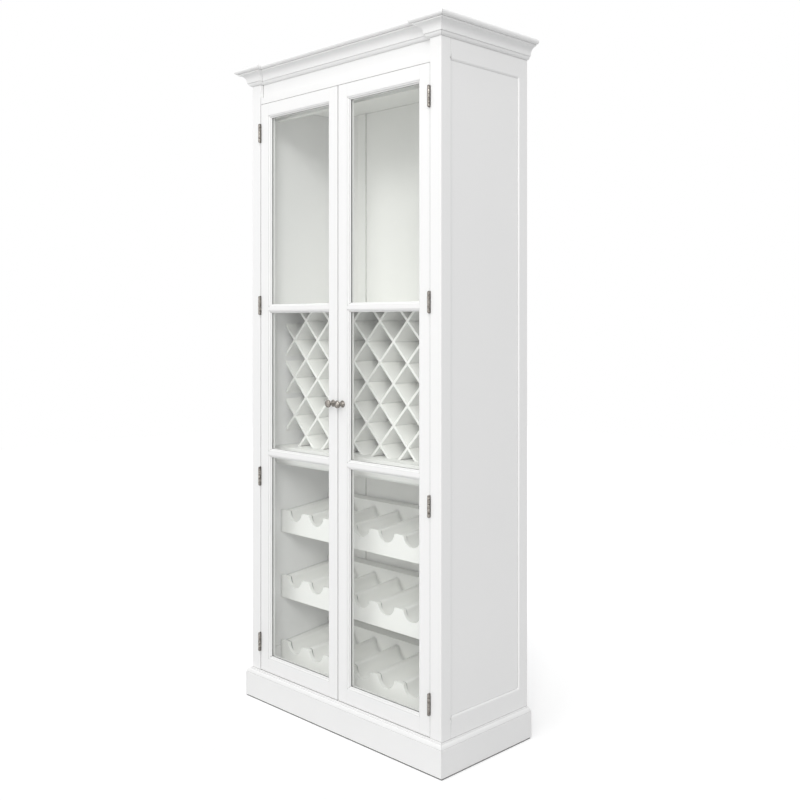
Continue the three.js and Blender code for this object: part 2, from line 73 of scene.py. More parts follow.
# Shade that gathers in seams and quirks, and a wider, lighter one in the racks
SEAM_REACH = 3.0 * MM
SEAM_OPEN = 0.82
SEAM_CLOSED = 0.12
SEAM_SAMPLES = 8
SEAM_SHADE_COLOUR = (0.13, 0.125, 0.12, 1.0)
RACK_SHADE_REACH = 26.0 * MM
RACK_SHADE_COLOUR = (0.36, 0.365, 0.345, 1.0)

# Satin paint: fine strokes, a faint peel and a slow drift, and what each does to tone and gloss
STROKE_SCALE = 420.0
STROKE_DETAIL = 5.0
STROKE_ROUGHNESS = 0.62
STROKE_TONE = 0.12
STROKE_GLOSS = 0.06
PEEL_SCALE = 900.0
PEEL_DETAIL = 2.0
PEEL_SHARE = 0.35
DRIFT_SCALE = 4.0
DRIFT_DETAIL = 3.0
DRIFT_TONE = (-0.25, 0.75)
PAINT_BUMP = (0.12, 0.12 * MM)

# Aged metal: dull patches in a brighter ground, and a fine grit
PATCH_DETAIL = 6.0
PATCH_ROUGHNESS = 0.6
PATCH_RANGE = (0.35, 0.7)
PATCH_GLOSS = (-0.06, 0.14)
PATCH_HEIGHT = 2.0
GRIT_SCALE = 2200.0
GRIT_DETAIL = 3.0
METAL_BUMP = (0.25, 0.06 * MM)


# Shader nodes

def add_node(tree, kind, values=None, **settings):
    node = tree.nodes.new(kind)
    for name, value in settings.items():
        setattr(node, name, value)
    for name, value in (values or {}).items():
        node.inputs[name].default_value = value
    return node


def link(tree, source, target):
    tree.links.new(source, target)


def shader_group(name, inputs, outputs):
    tree = bpy.data.node_groups.new(name, "ShaderNodeTree")
    for label, kind, default in inputs:
        socket = tree.interface.new_socket(label, in_out="INPUT", socket_type=kind)
        if default is not None:
            socket.default_value = default
    for label, kind in outputs:
        tree.interface.new_socket(label, in_out="OUTPUT", socket_type=kind)
    return tree, tree.nodes.new("NodeGroupInput"), tree.nodes.new("NodeGroupOutput")


def mapped(tree, value, low, high):
    node = add_node(tree, "ShaderNodeMapRange", {"To Min": low, "To Max": high})
    link(tree, value, node.inputs["Value"])
    return node.outputs["Result"]


def mixed(tree, factor, first, second):
    node = add_node(tree, "ShaderNodeMix", data_type="RGBA")
    link(tree, factor, node.inputs["Factor"])
    for colour, socket in ((first, node.inputs["A"]), (second, node.inputs["B"])):
        link(tree, colour, socket)
    return node.outputs["Result"]


def maths(tree, operation, first, second):
    node = add_node(tree, "ShaderNodeMath", operation=operation)
    for value, socket in ((first, node.inputs[0]), (second, node.inputs[1])):
        if isinstance(value, (int, float)):
            socket.default_value = value
        else:
            link(tree, value, socket)
    return node.outputs["Value"]


def noise(tree, position, scale, detail, roughness=0.5):
    node = add_node(
        tree, "ShaderNodeTexNoise",
        {"Scale": scale, "Detail": detail, "Roughness": roughness},
    )
    link(tree, position, node.inputs["Vector"])
    return node.outputs["Fac"]


def brushed_paint_group():
    """Satin paint: strokes that run one way, a faint peel, a slow drift and painted shade in the seams."""
    tree, given, result = shader_group(
        "brushed_paint",
        [
            ("Position", "NodeSocketVector", None),
            ("Stroke Stretch", "NodeSocketVector", (1.0, 1.0, 1.0)),
            ("Colour", "NodeSocketColor", (0.9, 0.9, 0.9, 1.0)),
            ("Shade", "NodeSocketColor", (0.8, 0.8, 0.8, 1.0)),
            ("Seam Shade Colour", "NodeSocketColor", (0.5, 0.5, 0.5, 1.0)),
            ("Openness", "NodeSocketFloat", 1.0),
            ("Roughness", "NodeSocketFloat", 0.4),
        ],
        [
            ("Colour", "NodeSocketColor"),
            ("Roughness", "NodeSocketFloat"),
            ("Height", "NodeSocketFloat"),
        ],
    )
    stretch = add_node(tree, "ShaderNodeVectorMath", operation="MULTIPLY")
    link(tree, given.outputs["Position"], stretch.inputs[0])
    link(tree, given.outputs["Stroke Stretch"], stretch.inputs[1])
    strokes = noise(
        tree, stretch.outputs["Vector"], STROKE_SCALE, STROKE_DETAIL, STROKE_ROUGHNESS,
    )
    peel = noise(tree, given.outputs["Position"], PEEL_SCALE, PEEL_DETAIL)
    drift = noise(tree, given.outputs["Position"], DRIFT_SCALE, DRIFT_DETAIL)
    drift_tone = mapped(tree, drift, *DRIFT_TONE)
    stroke_tone = mapped(tree, strokes, -STROKE_TONE, STROKE_TONE)
    tone = maths(tree, "ADD", drift_tone, stroke_tone)
    painted = mixed(tree, tone, given.outputs["Colour"], given.outputs["Shade"])
    # Painted shade: the paint darkens towards the seam shade colour where ambient occlusion is low, in seams and
    # quirks
    seam = add_node(
        tree, "ShaderNodeMapRange",
        {"From Min": SEAM_OPEN, "From Max": SEAM_CLOSED, "To Min": 0.0, "To Max": 1.0},
    )
    link(tree, given.outputs["Openness"], seam.inputs["Value"])
    seam_shaded = mixed(tree, seam.outputs["Result"], painted, given.outputs["Seam Shade Colour"])
    link(tree, seam_shaded, result.inputs["Colour"])
    stroke_gloss = mapped(tree, strokes, -STROKE_GLOSS, STROKE_GLOSS)
    rough = maths(tree, "ADD", given.outputs["Roughness"], stroke_gloss)
    link(tree, rough, result.inputs["Roughness"])
    height = maths(tree, "ADD", strokes, maths(tree, "MULTIPLY", peel, PEEL_SHARE))
    link(tree, height, result.inputs["Height"])
    return tree


def aged_metal_group():
    """Dull metal: dark in patches, rubbed brighter in others."""
    tree, given, result = shader_group(
        "aged_metal",
        [
            ("Position", "NodeSocketVector", None),
            ("Bright", "NodeSocketColor", (0.6, 0.6, 0.6, 1.0)),
            ("Dark", "NodeSocketColor", (0.1, 0.1, 0.1, 1.0)),
            ("Patch Scale", "NodeSocketFloat", 120.0),
            ("Roughness", "NodeSocketFloat", 0.35),
        ],
        [
            ("Colour", "NodeSocketColor"),
            ("Roughness", "NodeSocketFloat"),
            ("Height", "NodeSocketFloat"),
        ],
    )
    patches = add_node(
        tree, "ShaderNodeTexNoise", {"Detail": PATCH_DETAIL, "Roughness": PATCH_ROUGHNESS},
    )
    link(tree, given.outputs["Position"], patches.inputs["Vector"])
    link(tree, given.outputs["Patch Scale"], patches.inputs["Scale"])
    mask = add_node(
        tree, "ShaderNodeMapRange", {"From Min": PATCH_RANGE[0], "From Max": PATCH_RANGE[1]},
    )
    link(tree, patches.outputs["Fac"], mask.inputs["Value"])
    worn = mask.outputs["Result"]
    colour = mixed(tree, worn, given.outputs["Bright"], given.outputs["Dark"])
    link(tree, colour, result.inputs["Colour"])
    patch_gloss = mapped(tree, worn, *PATCH_GLOSS)
    rough = maths(tree, "ADD", given.outputs["Roughness"], patch_gloss)
    link(tree, rough, result.inputs["Roughness"])
    grit = noise(tree, given.outputs["Position"], GRIT_SCALE, GRIT_DETAIL)
    patch_height = maths(tree, "MULTIPLY", patches.outputs["Fac"], PATCH_HEIGHT)
    link(tree, maths(tree, "ADD", grit, patch_height), result.inputs["Height"])
    return tree


PAINT_GROUP = brushed_paint_group()
METAL_GROUP = aged_metal_group()


def surface_material(name, group, values, bump_plan, metallic=0.0, seam_reach=SEAM_REACH):
    """A surface with one of the groups in it, and shaded seams where the group takes openness."""
    material = bpy.data.materials.new(name)
    material.use_nodes = True
    tree = material.node_tree
    shader = tree.nodes["Principled BSDF"]
    shader.inputs["Metallic"].default_value = metallic
    place = add_node(tree, "ShaderNodeTexCoord")
    pattern = add_node(tree, "ShaderNodeGroup", node_tree=group)
    for label, value in values.items():
        pattern.inputs[label].default_value = value
    bump = add_node(
        tree, "ShaderNodeBump", {"Strength": bump_plan[0], "Distance": bump_plan[1]},
    )
    # Painted shade: ambient occlusion from the true normal sets how shut in each point is, and the group darkens
    # the paint there
    if "Openness" in pattern.inputs:
        openness = add_node(
            tree, "ShaderNodeAmbientOcclusion", {"Distance": seam_reach}, samples=SEAM_SAMPLES,
        )
        shape = add_node(tree, "ShaderNodeNewGeometry")
        link(tree, shape.outputs["True Normal"], openness.inputs["Normal"])
        link(tree, openness.outputs["AO"], pattern.inputs["Openness"])
    link(tree, place.outputs["Object"], pattern.inputs["Position"])
    link(tree, pattern.outputs["Colour"], shader.inputs["Base Color"])
    link(tree, pattern.outputs["Roughness"], shader.inputs["Roughness"])
    link(tree, pattern.outputs["Height"], bump.inputs["Height"])
    link(tree, bump.outputs["Normal"], shader.inputs["Normal"])
    return material


WHITE = (0.885, 0.885, 0.88, 1.0)
WHITE_SHADE = (0.855, 0.857, 0.855, 1.0)
# Painted light: the inside wears the same white paint as the outside, made lighter and a little greener to stand
# in for more light inside and the green cast of the glass
INNER_WHITE_WITH_PAINTED_LIGHT = (0.953, 0.955, 0.93, 1.0)
INNER_SHADE_WITH_PAINTED_LIGHT = (0.936, 0.939, 0.914, 1.0)
OUTER_ROUGHNESS = 0.42
INNER_ROUGHNESS = 0.5
STROKES = {
    "upright": (1.0, 1.0, 0.03),
    "across": (0.03, 1.0, 1.0),
    "deep": (1.0, 0.03, 1.0),
}


def paint_material(
    name, run, colour, shade, roughness, seam_shade_colour=SEAM_SHADE_COLOUR, seam_reach=SEAM_REACH,
):
    values = {
        "Stroke Stretch": STROKES[run], "Colour": colour, "Shade": shade,
        "Seam Shade Colour": seam_shade_colour, "Roughness": roughness,
    }
    return surface_material(name, PAINT_GROUP, values, PAINT_BUMP, seam_reach=seam_reach)


OUTER_PAINT = {
    run: paint_material(f"white_paint_{run}", run, WHITE, WHITE_SHADE, OUTER_ROUGHNESS)
    for run in STROKES
}
INNER_PAINT = {
    run: paint_material(f"inner_paint_{run}", run, INNER_WHITE_WITH_PAINTED_LIGHT, INNER_SHADE_WITH_PAINTED_LIGHT, INNER_ROUGHNESS)
    for run in ("upright", "across")
}
# The racks' paint carries a wider, lighter painted shade that darkens its troughs and the gap behind its front
# board
RACK_PAINT = paint_material(
    "rack_paint", "across", INNER_WHITE_WITH_PAINTED_LIGHT, INNER_SHADE_WITH_PAINTED_LIGHT, INNER_ROUGHNESS,
    RACK_SHADE_COLOUR, RACK_SHADE_REACH,
)
PEWTER = surface_material(
    "aged_pewter", METAL_GROUP,
    {
        "Bright": (0.4, 0.375, 0.345, 1.0), "Dark": (0.1, 0.09, 0.08, 1.0),
        "Patch Scale": 130.0, "Roughness": 0.24,
    },
    METAL_BUMP, metallic=1.0,
)
DARK_METAL = surface_material(
    "dark_pewter", METAL_GROUP,
    {
        "Bright": (0.19, 0.175, 0.16, 1.0), "Dark": (0.05, 0.045, 0.04, 1.0),
        "Patch Scale": 160.0, "Roughness": 0.42,
    },
    METAL_BUMP, metallic=1.0,
)


GLASS_COLOUR = (0.985, 0.995, 0.985, 1.0)
GLASS_ROUGHNESS = 0.02
GLASS_IOR = 1.45
GLASS_SHADOW_COLOUR = (0.99, 0.995, 0.99, 1.0)


def glass_material():
    """Clear glass that light for the surfaces behind it passes straight through."""
    material = bpy.data.materials.new("pane_glass")
    material.use_nodes = True
    tree = material.node_tree
    shader = tree.nodes["Principled BSDF"]
    shader.inputs["Base Color"].default_value = GLASS_COLOUR
    shader.inputs["Roughness"].default_value = GLASS_ROUGHNESS
    shader.inputs["IOR"].default_value = GLASS_IOR
    shader.inputs["Transmission Weight"].default_value = 1.0
    clear = add_node(tree, "ShaderNodeBsdfTransparent", {"Color": GLASS_SHADOW_COLOUR})
    path = add_node(tree, "ShaderNodeLightPath")
    passing = maths(
        tree, "MAXIMUM", path.outputs["Is Shadow Ray"], path.outputs["Is Diffuse Ray"],
    )
    mix = add_node(tree, "ShaderNodeMixShader")
    link(tree, passing, mix.inputs["Fac"])
    link(tree, shader.outputs["BSDF"], mix.inputs[1])
    link(tree, clear.outputs["BSDF"], mix.inputs[2])
    link(tree, mix.outputs["Shader"], tree.nodes["Material Output"].inputs["Surface"])
    return material


GLASS = glass_material()


# Pieces

def new_object(name, mesh, material):
    mesh.materials.clear()
    mesh.materials.append(material)
    piece = bpy.data.objects.new(name, mesh)
    bpy.context.scene.collection.objects.link(piece)
    return piece


def made_plain(piece):
    """The piece with its modifiers turned into mesh."""
    depsgraph = bpy.context.evaluated_depsgraph_get()
    mesh = bpy.data.meshes.new_from_object(piece.evaluated_get(depsgraph), depsgraph=depsgraph)
    piece.modifiers.clear()
    old = piece.data
    piece.data = mesh
    bpy.data.meshes.remove(old)
    return piece


def smooth_by_angle(bm):
    for face in bm.faces:
        face.smooth = True
    for edge in bm.edges:
        edge.smooth = edge.is_manifold and edge.calc_face_angle(0.0) < SMOOTH_ANGLE


def body_of_node(node):
    groups = frame["record"]["behaviour"]["bodies"]
    return next(body for body, members in groups.items() if node in members)


def settle(piece, slot, body, *replaced):
    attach(piece, body)
    if replaced:
        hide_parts(*replaced)
    return piece


def object_from(bm, name, material):
    smooth_by_angle(bm)
    mesh = bpy.data.meshes.new(name)
    bm.to_mesh(mesh)
    bm.free()
    return new_object(name, mesh, material)


def with_true_flats(piece):
    """The piece with shading that keeps its wide faces flat beside eased edges."""
    weighted = piece.modifiers.new("flats", "WEIGHTED_NORMAL")
    weighted.keep_sharp = True
    return made_plain(piece)


def eased_copy(node, suffix, material, slot, arris, shaped=None):
    """A frame node's own shape with its flats cleaned and its sharp edges eased."""
    bm = bmesh.new()
    bm.from_mesh(frame["nodes"][node].data)
    bmesh.ops.remove_doubles(bm, verts=bm.verts, dist=MERGE_DISTANCE)
    bmesh.ops.dissolve_limit(bm, angle_limit=FLAT_ANGLE, verts=bm.verts, edges=bm.edges)
    if shaped:
        shaped(bm, node)
    sharp = [
        edge for edge in bm.edges
        if edge.is_manifold and edge.calc_face_angle(0.0) > SHARP_ANGLE
    ]
    bmesh.ops.bevel(
        bm, geom=sharp, offset=arris, offset_type="OFFSET", segments=ARRIS_STEPS,
        profile=0.5, affect="EDGES", clamp_overlap=False, miter_outer="ARC",
    )
    piece = with_true_flats(object_from(bm, f"{node}_{suffix}", material))
    return settle(piece, slot, body_of_node(node), node)


OUTER_BOARDS = {
    "corner_post_left": "upright", "corner_post_right": "upright",
    "side_frame_left": "upright", "side_frame_right": "upright",
    "side_panel_left": "upright", "side_panel_right": "upright",
    "header_and_top_cover": "across",
}
OUTER_MOULDINGS = {
    "plinth_front": "across", "plinth_left": "deep", "plinth_right": "deep",
    "cornice_front": "across", "cornice_left": "deep", "cornice_right": "deep",
}
INNER_BOARDS = {
    "bottom_board": "across", "top_board": "across",
    "upper_shelf": "across", "lower_shelf": "across",
}
DOOR_MEMBERS = {
    "hinge_stile": "upright", "meeting_stile": "upright", "top_rail": "across",
    "upper_mid_rail": "across", "lower_mid_rail": "across", "bottom_rail": "across",
}


# The plinth stands on thin bearers set back from its faces, which leaves a dark line at its foot
FOOT_GAP = 3.5 * MM
BEARER_INSET = 9.0 * MM
BEARER_WIDTH = 5.0 * MM
BEARER_LAP = 1.0 * MM


def add_cuboid(bm, low, high):
    corners = [
        bm.verts.new((x, y, z)) for z in (low[2], high[2])
        for x, y in ((low[0], low[1]), (high[0], low[1]), (high[0], high[1]), (low[0], high[1]))
    ]
    bm.faces.new(corners[3::-1])
    bm.faces.new(corners[4:])
    for i in range(4):
        j = (i + 1) % 4
        bm.faces.new((corners[i], corners[j], corners[j + 4], corners[i + 4]))


# Gaps round the doors: by how much one side of a piece is moved, as (axis, side, shift)
EDGE_SHIFTS = {
    "header_and_top_cover": (2, "low", -1.1 * MM),
    "plinth_front": (2, "high", 1.9 * MM),
    "door_left_meeting_stile": (0, "high", -1.1 * MM),
    "door_right_meeting_stile": (0, "low", 1.1 * MM),
}


def shift_edge(bm, node):
    """Moves the vertices on one side of a piece's box."""
    if node in EDGE_SHIFTS:
        axis, side, shift = EDGE_SHIFTS[node]
        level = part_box(node)[0 if side == "low" else 1][axis]
        for vertex in bm.verts:
            if abs(vertex.co[axis] - level) < LEVEL_TOLERANCE:
                vertex.co[axis] += shift


def raised_on_bearers(bm, node):
    """Lifts the underside of a plinth length and stands it on a bearer that is set back."""
    shift_edge(bm, node)
    low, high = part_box(node)
    for vertex in bm.verts:
        if vertex.co.z < MERGE_DISTANCE:
            vertex.co.z = FOOT_GAP
    ends = [(low[axis] + BEARER_INSET, high[axis] - BEARER_INSET) for axis in (0, 1)]
    long_axis = 0 if high.x - low.x > high.y - low.y else 1
    cross = 1 - long_axis
    outwards = -1 if low[cross] + high[cross] < 0 else 1
    outer = low[cross] + BEARER_INSET if outwards < 0 else high[cross] - BEARER_INSET
    inner = outer - outwards * (BEARER_WIDTH if high[cross] - low[cross] > 2 * BEARER_INSET else 0)
    ends[cross] = (min(outer, inner), max(outer, inner))
    add_cuboid(
        bm, (ends[0][0], ends[1][0], 0), (ends[0][1], ends[1][1], FOOT_GAP + BEARER_LAP),
    )


def add_painted_boards():
    for node, run in OUTER_BOARDS.items():
        arris = SIDE_FRAME_ARRIS if node.startswith("side_frame") else BOARD_ARRIS
        eased_copy(node, "painted", OUTER_PAINT[run], "white_paint", arris, shift_edge)
    for node, run in OUTER_MOULDINGS.items():
        shaped = raised_on_bearers if node.startswith("plinth") else None
        eased_copy(node, "painted", OUTER_PAINT[run], "white_paint", MOULDING_ARRIS, shaped)
    for node, run in INNER_BOARDS.items():
        eased_copy(node, "painted", INNER_PAINT[run], "inner_paint", INNER_ARRIS)
    for side, _ in SIDES:
        for member, run in DOOR_MEMBERS.items():
            eased_copy(
                f"door_{side}_{member}", "painted", OUTER_PAINT[run], "white_paint",
                MOULDING_ARRIS, shift_edge,
            )


def add_panes():
    for name, node in frame["nodes"].items():
        if name.endswith("_pane"):
            node.data.materials.clear()
            node.data.materials.append(GLASS)


# Geometry Nodes

def geometry_tree(name, inputs):
    """A tree that takes a mesh, with named inputs, and gives their identifiers."""
    tree = bpy.data.node_groups.new(name, "GeometryNodeTree")
    tree.interface.new_socket("Geometry", in_out="INPUT", socket_type="NodeSocketGeometry")
    identifiers = {}
    for label, kind in inputs:
        socket = tree.interface.new_socket(label, in_out="INPUT", socket_type=kind)
        identifiers[label] = socket.identifier
    tree.interface.new_socket("Geometry", in_out="OUTPUT", socket_type="NodeSocketGeometry")
    return tree, identifiers, tree.nodes.new("NodeGroupInput"), tree.nodes.new("NodeGroupOutput")


def finished_with_material(tree, geometry, given, result):
    realized = add_node(tree, "GeometryNodeRealizeInstances")
    coated = add_node(tree, "GeometryNodeSetMaterial")
    link(tree, geometry, realized.inputs["Geometry"])
    link(tree, realized.outputs["Geometry"], coated.inputs["Geometry"])
    link(tree, given.outputs["Material"], coated.inputs["Material"])
    link(tree, coated.outputs["Geometry"], result.inputs["Geometry"])


def slat_tree():
    """Boards with eased edges along the edges of a mesh that lies in an XZ plane."""
    tree, identifiers, given, result = geometry_tree("slats_on_lines", [
        ("Thickness", "NodeSocketFloat"), ("Depth", "NodeSocketFloat"),
        ("Edge Radius", "NodeSocketFloat"), ("Material", "NodeSocketMaterial"),
    ])
    lines = add_node(tree, "GeometryNodeMeshToCurve")
    upright = add_node(tree, "GeometryNodeSetCurveNormal", mode="Z_UP")
    section = add_node(tree, "GeometryNodeCurvePrimitiveQuadrilateral")
    eased = add_node(tree, "GeometryNodeFilletCurve", {"Count": 3}, mode="POLY")
    boards = add_node(tree, "GeometryNodeCurveToMesh", {"Fill Caps": True})
    link(tree, given.outputs["Geometry"], lines.inputs["Mesh"])
    link(tree, lines.outputs["Curve"], upright.inputs["Curve"])
    link(tree, given.outputs["Depth"], section.inputs["Width"])
    link(tree, given.outputs["Thickness"], section.inputs["Height"])
    link(tree, section.outputs["Curve"], eased.inputs["Curve"])
    link(tree, given.outputs["Edge Radius"], eased.inputs["Radius"])
    link(tree, upright.outputs["Curve"], boards.inputs["Curve"])
    link(tree, eased.outputs["Curve"], boards.inputs["Profile Curve"])
    finished_with_material(tree, boards.outputs["Mesh"], given, result)
    return tree, identifiers


def copies_tree():
    """Copies of one object on the points of a mesh, each faced along "facing" and spun."""
    tree, identifiers, given, result = geometry_tree("copies_on_points", [
        ("Pattern", "NodeSocketObject"), ("Scale", "NodeSocketFloat"),
        ("Spin Seed", "NodeSocketInt"), ("Material", "NodeSocketMaterial"),
    ])
    pattern = add_node(tree, "GeometryNodeObjectInfo", {"As Instance": True})
    facing = add_node(
        tree, "GeometryNodeInputNamedAttribute", {"Name": "facing"}, data_type="FLOAT_VECTOR",
    )
    faced = add_node(tree, "FunctionNodeAlignRotationToVector", axis="Z")
    angle = add_node(tree, "FunctionNodeRandomValue", data_type="FLOAT")
    angle.inputs[2].default_value = 0.0
    angle.inputs[3].default_value = math.pi
    spin = add_node(tree, "FunctionNodeAxisAngleToRotation", {"Axis": (0.0, 0.0, 1.0)})
    turn = add_node(tree, "FunctionNodeRotateRotation", rotation_space="LOCAL")
    copies = add_node(tree, "GeometryNodeInstanceOnPoints")
    link(tree, given.outputs["Pattern"], pattern.inputs["Object"])
    link(tree, facing.outputs["Attribute"], faced.inputs["Vector"])
    link(tree, given.outputs["Spin Seed"], angle.inputs["Seed"])
    link(tree, angle.outputs[1], spin.inputs["Angle"])
    link(tree, faced.outputs["Rotation"], turn.inputs["Rotation"])
    link(tree, spin.outputs["Rotation"], turn.inputs["Rotate By"])
    link(tree, given.outputs["Geometry"], copies.inputs["Points"])
    link(tree, pattern.outputs["Geometry"], copies.inputs["Instance"])
    link(tree, turn.outputs["Rotation"], copies.inputs["Rotation"])
    link(tree, given.outputs["Scale"], copies.inputs["Scale"])
    finished_with_material(tree, copies.outputs["Instances"], given, result)
    return tree, identifiers


SLAT_TREE = slat_tree()
COPIES_TREE = copies_tree()


def grown(name, vertices, edges, tree_and_inputs, values, material, facing=None):
    """A mesh grown by a tree on the given points and edges."""
    tree, identifiers = tree_and_inputs
    mesh = bpy.data.meshes.new(name)
    mesh.from_pydata(vertices, edges, [])
    if facing:
        attribute = mesh.attributes.new("facing", "FLOAT_VECTOR", "POINT")
        attribute.data.foreach_set("vector", [part for way in facing for part in way])
    piece = bpy.data.objects.new(name, mesh)
    bpy.context.scene.collection.objects.link(piece)
    modifier = piece.modifiers.new("grown", "NODES")
    modifier.node_group = tree
    for label, value in {**values, "Material": material}.items():
        modifier[identifiers[label]] = value
    piece.update_tag()
    return made_plain(piece)


# Bottle lattice: crossing columns and rows are half pitches apart
LATTICE_PITCH_X = 57.0 * MM
LATTICE_PITCH_Z = 61.0 * MM
LATTICE_TOP_DROP = 31.0 * MM
LATTICE_NODES = ("wine_lattice_left", "wine_lattice_right")
SLAT_THICKNESS = 8.0 * MM
SLAT_EDGE = 0.9 * MM
SLAT_TENON = 4.6 * MM
SLAT_LAP = 0.3 * MM


def slat_ends(low, high, start, rise, top_row):
    """Where one slat's middle line meets the walls, the shelf and the board over it."""
    lean = rise * LATTICE_PITCH_X / LATTICE_PITCH_Z

    def column(z):
        return start * LATTICE_PITCH_X + lean * (z - top_row)

    wall_heights = [top_row + (wall - start * LATTICE_PITCH_X) / lean for wall in (low.x, high.x)]
    bottom = max(low.z, min(wall_heights)) - SLAT_TENON
    top = min(high.z, max(wall_heights)) + SLAT_TENON
    return [(column(z), z) for z in (bottom, top)]


def add_lattice():
    low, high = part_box(LATTICE_NODES[0])[0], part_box(LATTICE_NODES[1])[1]
    top_row = high.z - LATTICE_TOP_DROP
    rows = int((top_row - low.z) / LATTICE_PITCH_Z)
    columns = int(high.x / LATTICE_PITCH_X)
    reach = columns + rows + (columns + rows + 1) % 2
    vertices, edges = [], []
    for rise in (1, -1):
        middle = (low.y + high.y + rise * SLAT_LAP) / 2
        for start in range(-reach, reach + 1, 2):
            if min(abs(start - rise * row) for row in range(rows + 1)) <= columns:
                for x, z in slat_ends(low, high, start, rise, top_row):
                    vertices.append((x, middle, z))
                edges.append((len(vertices) - 2, len(vertices) - 1))
    sizes = {
        "Thickness": SLAT_THICKNESS, "Depth": high.y - low.y - SLAT_LAP,
        "Edge Radius": SLAT_EDGE,
    }
    piece = grown("lattice_slats", vertices, edges, SLAT_TREE, sizes, INNER_PAINT["upright"])
    settle(piece, "inner_paint", "cabinet", *LATTICE_NODES)


# Back panel: two raised stiles, each with a narrow gap at both sides
BACK_STILE_CENTRE = 270.5 * MM
BACK_STILE_WIDTH = 39.0 * MM
BACK_STILE_RISE = 5.0 * MM
STILE_GAP_LEFT = 6.5 * MM
STILE_GAP_RIGHT = 1.0 * MM
STILE_GAP_DEPTH = 4.0 * MM
BACK_PANEL_ARRIS = 0.36 * MM
PLAN_TURN = Matrix(((1, 0, 0, 0), (0, 0, -1, 0), (0, 1, 0, 0), (0, 0, 0, 1)))


def add_back_panel():
    low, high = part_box("back_panel")
    face = low.y + BACK_STILE_RISE
    groove = face + STILE_GAP_DEPTH
    plan = [(high.x, high.y), (low.x, high.y), (low.x, face)]
    for centre in (-BACK_STILE_CENTRE, BACK_STILE_CENTRE):
        left = centre - BACK_STILE_WIDTH / 2
        right = centre + BACK_STILE_WIDTH / 2
        plan += [
            (left - STILE_GAP_LEFT, face), (left - STILE_GAP_LEFT, groove), (left, groove),
            (left, low.y), (right, low.y), (right, groove), (right + STILE_GAP_RIGHT, groove),
            (right + STILE_GAP_RIGHT, face),
        ]
    plan.append((high.x, face))
    bm = bmesh.new()
    add_eased_board(bm, [(x, -y) for x, y in plan[::-1]], low.z, high.z, BACK_PANEL_ARRIS)
    bmesh.ops.transform(bm, matrix=PLAN_TURN, verts=bm.verts)
    bmesh.ops.recalc_face_normals(bm, faces=bm.faces)
    piece = with_true_flats(object_from(bm, "back_panel_painted", INNER_PAINT["upright"]))
    settle(piece, "inner_paint", "cabinet", "back_panel")


# Bottle racks: a scalloped front board, and behind a gap, troughs that climb to a rear block
RACK_LEVELS = ("upper", "middle", "lower")
BOTTLES_A_RACK = 7
BOTTLE_PITCH = 105.0 * MM
RACK_FRONT_THICKNESS = 12.0 * MM
RACK_FRONT_GAP = 11.0 * MM
RACK_BLOCK_DEPTH = 47.0 * MM
RACK_BLOCK_RISE = 32.0 * MM
SCALLOP_SIZE = (67.0 * MM, 30.5 * MM)
TROUGH_SIZE = (85.0 * MM, 45.0 * MM)
TROUGH_FLOOR = 6.0 * MM
TROUGH_CLIMB = 18.0 * MM
RIB_DROP = 4.0 * MM
SCALLOP_SHOULDER = 5.5 * MM
RIB_SHOULDER = 6.0 * MM
RACK_ARRIS = 1.2 * MM
TROUGH_ARRIS = 0.12 * MM
EASE_SHARE = 0.3
RACK_LAP = 1.0 * MM
SCALLOP_STEPS = 24
SHOULDER_STEPS = 4


def arc(centre, radii, start, end, steps):
    """Points of an elliptic arc, angles in radians."""
    angles = [start + (end - start) * i / steps for i in range(steps + 1)]
    return [
        (centre[0] + radii[0] * math.cos(a), centre[1] + radii[1] * math.sin(a)) for a in angles
    ]


def scalloped_edge(low, high, top, size, shoulder):
    """(x, z) points from left to right along a top edge with one scallop for each bottle."""
    half, depth = size[0] / 2, size[1]
    start = math.asin(shoulder / depth)
    wall = half * math.cos(start)
    quarter = math.pi / 2
    points = [(low, top)]
    for i in range(BOTTLES_A_RACK):
        middle = (i - (BOTTLES_A_RACK - 1) / 2) * BOTTLE_PITCH
        round_over = (shoulder, shoulder)
        points += arc(
            (middle - wall - shoulder, top - shoulder), round_over, quarter, 0, SHOULDER_STEPS,
        )
        points += arc(
            (middle, top), (half, depth), math.pi + start, math.tau - start, SCALLOP_STEPS,
        )[1:-1]
        points += arc(
            (middle + wall + shoulder, top - shoulder), round_over, math.pi, quarter,
            SHOULDER_STEPS,
        )
    return points + [(high, top)]


def inset_outline(outline, inset):
    """A closed outline, anticlockwise in (x, z), drawn in by the same width all round."""
    drawn_in = []
    for i, point in enumerate(outline):
        before, after = Vector(outline[i - 1]), Vector(outline[(i + 1) % len(outline)])
        here = Vector(point)
        first, second = (here - before).normalized(), (after - here).normalized()
        inwards = [Vector((-way.y, way.x)) for way in (first, second)]
        spread = 1 + inwards[0].dot(inwards[1])
        drawn_in.append(here + (inwards[0] + inwards[1]) * inset / spread)
    return drawn_in


def add_eased_board(bm, outline, front, back, arris, climb=0.0):
    """A board from an outline, anticlockwise in (x, z), with its front and back edges eased."""
    ease = EASE_SHARE * arris
    steps = (
        (arris, front), (ease, front + ease), (0, front + arris),
        (0, back - arris), (ease, back - ease), (arris, back),
    )
    rings = []
    for inset, y in steps:
        rise = climb * (y - front)
        rings.append([bm.verts.new((x, y, z + rise)) for x, z in inset_outline(outline, inset)])
    for near, far in zip(rings, rings[1:]):
        for i in range(len(near)):
            j = (i + 1) % len(near)
            bm.faces.new((near[i], far[i], far[j], near[j]))
    bm.faces.new(rings[0])
    bm.faces.new(rings[-1][::-1])


